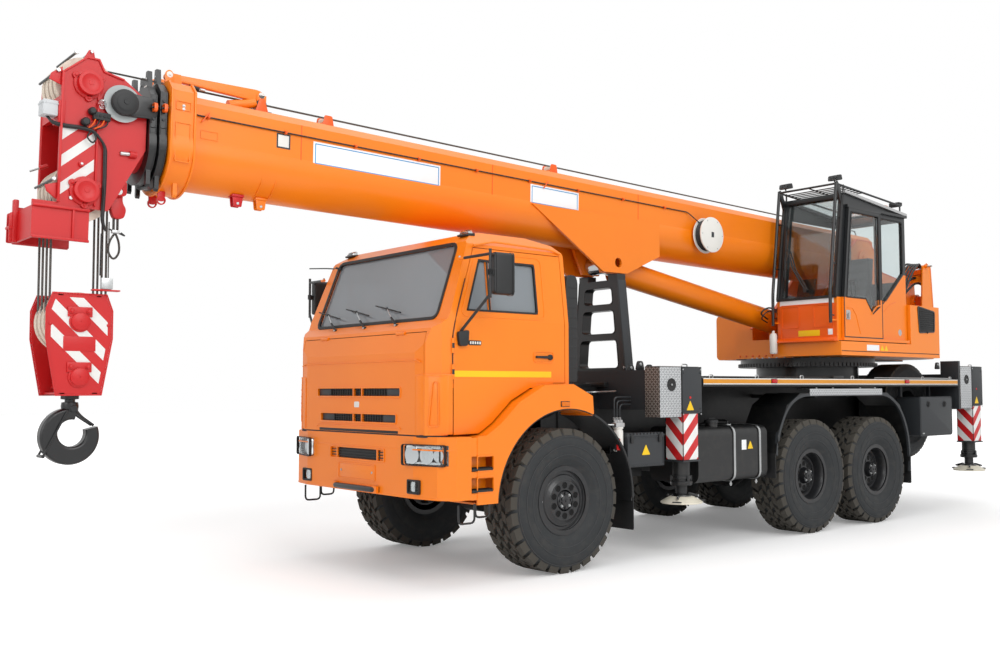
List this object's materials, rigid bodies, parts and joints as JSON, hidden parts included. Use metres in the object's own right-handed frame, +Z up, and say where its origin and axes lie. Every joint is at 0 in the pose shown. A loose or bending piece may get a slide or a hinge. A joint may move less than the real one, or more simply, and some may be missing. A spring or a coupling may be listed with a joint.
{
  "type": "mobile crane",
  "caption": "Truck-mounted telescopic boom crane in travelling position, with slewing upper works, hydraulic outriggers, hoist hook and a forward driver cab.",
  "frame": {"origin": "on the ground under the middle of the machine's length and width", "axes": "+X forward to the driver cab and boom head, +Y to the left, +Z up"},
  "size_m": [11.716, 2.94, 3.9995],
  "materials": {
    "orange_paint": "gloss",
    "black_paint": "satin",
    "dark_grey_paint": "satin",
    "red_paint": "gloss",
    "cream_paint": "satin",
    "rolled_steel": "satin",
    "wheel_black": "satin",
    "tyre": "matte",
    "window_glass": "clear",
    "lamp_lens": "clear",
    "trim_fabric": "matte"
  },
  "bodies": {
    "chassis": {"chassis_frame": "black_paint", "crane_subframe": "black_paint", "outrigger_boxes_front": "dark_grey_paint", "outrigger_boxes_rear": "dark_grey_paint", "deck": "black_paint", "running_gear": "black_paint", "powertrain": "black_paint", "bumper": "orange_paint", "headlamps": "lamp_lens", "cab_shell": "orange_paint", "cab_glass": "window_glass", "cab_interior": "trim_fabric", "front_fenders": "orange_paint", "boom_rest": "black_paint", "fuel_tanks": "black_paint", "side_boxes": "dark_grey_paint", "rear_fenders": "black_paint", "spare_wheel": "tyre", "slew_ring": "black_paint"},
    "knuckle_left": {"knuckle_left": "black_paint"},
    "wheel_front_left": {"tyre_front_left": "tyre", "rim_front_left": "wheel_black"},
    "wheel_mid_left": {"tyre_mid_left": "tyre", "rim_mid_left": "wheel_black"},
    "wheel_last_left": {"tyre_last_left": "tyre", "rim_last_left": "wheel_black"},
    "cab_door_left": {"cab_door_left": "orange_paint", "door_glass_left": "window_glass"},
    "outrigger_front_left": {"outrigger_front_left": "dark_grey_paint"},
    "jack_front_left": {"jack_front_left": "cream_paint"},
    "outrigger_rear_left": {"outrigger_rear_left": "dark_grey_paint"},
    "jack_rear_left": {"jack_rear_left": "cream_paint"},
    "knuckle_right": {"knuckle_right": "black_paint"},
    "wheel_front_right": {"tyre_front_right": "tyre", "rim_front_right": "wheel_black"},
    "wheel_mid_right": {"tyre_mid_right": "tyre", "rim_mid_right": "wheel_black"},
    "wheel_last_right": {"tyre_last_right": "tyre", "rim_last_right": "wheel_black"},
    "cab_door_right": {"cab_door_right": "orange_paint", "door_glass_right": "window_glass"},
    "outrigger_front_right": {"outrigger_front_right": "dark_grey_paint"},
    "jack_front_right": {"jack_front_right": "cream_paint"},
    "outrigger_rear_right": {"outrigger_rear_right": "dark_grey_paint"},
    "jack_rear_right": {"jack_rear_right": "cream_paint"},
    "front_panel": {"front_panel": "orange_paint"},
    "turntable": {"turntable": "orange_paint", "crane_cab": "orange_paint", "crane_cab_glass": "window_glass", "operator_seat": "trim_fabric"},
    "crane_cab_door": {"crane_cab_door": "orange_paint"},
    "boom_base": {"boom_base": "orange_paint"},
    "boom_section_2": {"boom_section_2": "black_paint"},
    "boom_section_3": {"boom_section_3": "black_paint"},
    "boom_head": {"boom_head": "red_paint"},
    "lift_barrel": {"lift_barrel": "orange_paint"},
    "lift_rod": {"lift_rod": "rolled_steel"},
    "rope_falls": {"rope_falls": "rolled_steel"},
    "hook_block": {"hook_block": "red_paint"},
    "hook": {"hook": "black_paint"}
  },
  "joints": [
    {"name": "steer_left", "type": "hinge", "parent": "chassis", "child": "knuckle_left", "pos_m": [1.78404, 0.8, 0.62], "axis": [0, 0, 1], "range_deg": [-28, 28]},
    {"name": "roll_front_left", "type": "hinge", "parent": "knuckle_left", "child": "wheel_front_left", "pos_m": [1.78404, 1.025, 0.62], "axis": [0, 1, 0], "continuous": true},
    {"name": "roll_mid_left", "type": "hinge", "parent": "chassis", "child": "wheel_mid_left", "pos_m": [-1.90596, 1.025, 0.62], "axis": [0, 1, 0], "continuous": true},
    {"name": "roll_last_left", "type": "hinge", "parent": "chassis", "child": "wheel_last_left", "pos_m": [-3.22596, 1.025, 0.62], "axis": [0, 1, 0], "continuous": true},
    {"name": "cab_door_left_hinge", "type": "hinge", "parent": "chassis", "child": "cab_door_left", "pos_m": [2.94704, 1.14, 1.825], "axis": [0, 0, -1], "range_deg": [0, 70]},
    {"name": "outrigger_front_left_slide", "type": "slide", "parent": "chassis", "child": "outrigger_front_left", "axis": [0, 1, 0], "range_m": [0, 1.75]},
    {"name": "jack_front_left_slide", "type": "slide", "parent": "outrigger_front_left", "child": "jack_front_left", "axis": [0, 0, -1], "range_m": [0, 0.55]},
    {"name": "outrigger_rear_left_slide", "type": "slide", "parent": "chassis", "child": "outrigger_rear_left", "axis": [0, 1, 0], "range_m": [0, 1.75]},
    {"name": "jack_rear_left_slide", "type": "slide", "parent": "outrigger_rear_left", "child": "jack_rear_left", "axis": [0, 0, -1], "range_m": [0, 0.55]},
    {"name": "steer_right", "type": "hinge", "parent": "chassis", "child": "knuckle_right", "pos_m": [1.78404, -0.8, 0.62], "axis": [0, 0, 1], "range_deg": [-28, 28]},
    {"name": "roll_front_right", "type": "hinge", "parent": "knuckle_right", "child": "wheel_front_right", "pos_m": [1.78404, -1.025, 0.62], "axis": [0, 1, 0], "continuous": true},
    {"name": "roll_mid_right", "type": "hinge", "parent": "chassis", "child": "wheel_mid_right", "pos_m": [-1.90596, -1.025, 0.62], "axis": [0, 1, 0], "continuous": true},
    {"name": "roll_last_right", "type": "hinge", "parent": "chassis", "child": "wheel_last_right", "pos_m": [-3.22596, -1.025, 0.62], "axis": [0, 1, 0], "continuous": true},
    {"name": "cab_door_right_hinge", "type": "hinge", "parent": "chassis", "child": "cab_door_right", "pos_m": [2.94704, -1.14, 1.825], "axis": [0, 0, 1], "range_deg": [0, 70]},
    {"name": "outrigger_front_right_slide", "type": "slide", "parent": "chassis", "child": "outrigger_front_right", "axis": [0, -1, 0], "range_m": [0, 1.75]},
    {"name": "jack_front_right_slide", "type": "slide", "parent": "outrigger_front_right", "child": "jack_front_right", "axis": [0, 0, -1], "range_m": [0, 0.55]},
    {"name": "outrigger_rear_right_slide", "type": "slide", "parent": "chassis", "child": "outrigger_rear_right", "axis": [0, -1, 0], "range_m": [0, 1.75]},
    {"name": "jack_rear_right_slide", "type": "slide", "parent": "outrigger_rear_right", "child": "jack_rear_right", "axis": [0, 0, -1], "range_m": [0, 0.55]},
    {"name": "front_panel_hinge", "type": "hinge", "parent": "chassis", "child": "front_panel", "pos_m": [3.09304, 0, 2.043], "axis": [0, -1, 0], "range_deg": [0, 75]},
    {"name": "slew", "type": "hinge", "parent": "chassis", "child": "turntable", "pos_m": [-3.61596, 0, 1.895], "axis": [0, 0, 1], "continuous": true},
    {"name": "crane_cab_door_slide", "type": "slide", "parent": "turntable", "child": "crane_cab_door", "axis": [-1, 0, 0], "range_m": [0, 0.6]},
    {"name": "boom_lift", "type": "hinge", "parent": "turntable", "child": "boom_base", "pos_m": [-4.46596, 0, 3.29], "axis": [0, -1, 0], "range_deg": [0, 75]},
    {"name": "telescope_2", "type": "slide", "parent": "boom_base", "child": "boom_section_2", "axis": [0.9998, 0, 0.0201], "range_m": [0, 8]},
    {"name": "telescope_3", "type": "slide", "parent": "boom_section_2", "child": "boom_section_3", "axis": [0.9998, 0, 0.0201], "range_m": [0, 8]},
    {"name": "telescope_4", "type": "slide", "parent": "boom_section_3", "child": "boom_head", "axis": [0.9998, 0, 0.0201], "range_m": [0, 8]},
    {"name": "lift_barrel_hinge", "type": "hinge", "parent": "turntable", "child": "lift_barrel", "pos_m": [-3.16596, 0, 2.364], "axis": [0, -1, 0], "range_deg": [0, 77.97]},
    {"name": "lift_rod_slide", "type": "slide", "parent": "lift_barrel", "child": "lift_rod", "axis": [0.9875, 0, 0.1575], "range_m": [0, 1.9323]},
    {"name": "falls_swing", "type": "hinge", "parent": "boom_head", "child": "rope_falls", "pos_m": [5.51206, 0, 2.9902], "axis": [0, -1, 0], "range_deg": [-75.01, 0]},
    {"name": "hoist", "type": "slide", "parent": "rope_falls", "child": "hook_block", "axis": [0, 0, -1], "range_m": [0, 1]},
    {"name": "hook_swivel", "type": "hinge", "parent": "hook_block", "child": "hook", "pos_m": [5.51206, 0, 1.6], "axis": [0, 0, 1], "continuous": true}
  ],
  "couplings": [
    {"joint": "steer_right", "follows": "steer_left", "ratio": 1},
    {"joint": "telescope_3", "follows": "telescope_2", "ratio": 1},
    {"joint": "telescope_4", "follows": "telescope_2", "ratio": 1},
    {"joint": "lift_barrel_hinge", "follows": "boom_lift", "ratio": 1.0389},
    {"joint": "lift_rod_slide", "follows": "boom_lift", "m_per_rad": 1.4754},
    {"joint": "falls_swing", "follows": "boom_lift", "ratio": -1}
  ]
}
